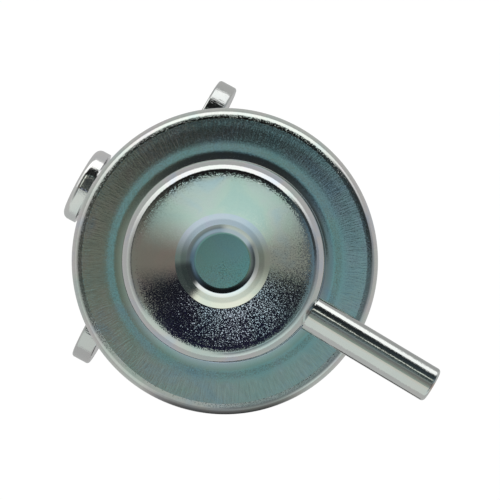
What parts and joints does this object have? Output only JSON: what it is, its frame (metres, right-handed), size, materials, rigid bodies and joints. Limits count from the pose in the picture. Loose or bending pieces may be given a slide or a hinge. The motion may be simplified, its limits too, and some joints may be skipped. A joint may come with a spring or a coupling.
{
  "type": "fuel pressure regulator",
  "caption": "Crimped fuel pressure regulator with a dimpled spring dome, a radial vacuum nipple, a bolted side flange with an O-ring spigot, and a beaded return tube.",
  "frame": {"origin": "middle of the mounting flange's rail face, on the inlet spigot's axis, halfway between the bolt holes", "axes": "+Z along the housing's axis with the spring dome on top and the return tube below; -X along the inlet spigot towards the fuel rail; Y along the line of the bolt holes"},
  "size_m": [0.0698, 0.0552, 0.0678],
  "materials": {
    "zinc_sheet": "bright zinc plating with a clear blue chromate",
    "zinc_tube": "bright zinc plating with a clear blue chromate",
    "zinc_plate": "bright zinc plating with a clear blue chromate",
    "zinc_turned": "turned and zinc plated",
    "rubber_ring": "black moulded rubber",
    "diaphragm_rubber": "black fabric-reinforced rubber",
    "valve_steel": "plain stamped and turned steel",
    "ball_steel": "ground and polished steel",
    "spring_steel": "dark drawn spring wire",
    "seat_brass": "turned brass"
  },
  "bodies": {
    "housing": {"upper_housing": "zinc_sheet", "lower_housing": "zinc_sheet", "vacuum_nipple": "zinc_tube", "mounting_flange": "zinc_plate", "inlet_spigot": "zinc_turned", "inlet_o_ring": "rubber_ring", "return_tube": "zinc_tube", "valve_seat": "seat_brass", "spring_seat": "valve_steel", "diaphragm": "diaphragm_rubber", "main_spring": "spring_steel"},
    "valve": {"diaphragm_washer": "valve_steel", "spring_cup": "valve_steel", "valve_holder": "valve_steel", "valve_ball": "ball_steel", "ball_retainer": "valve_steel", "ball_spring": "spring_steel"}
  },
  "joints": [
    {"name": "valve_lift", "type": "slide", "parent": "housing", "child": "valve", "axis": [0, 0, 1], "range_m": [0, 0.001], "stiffness_N_per_m": 1500, "springref_m": -0.004, "deforming": ["main_spring", "diaphragm"]}
  ]
}
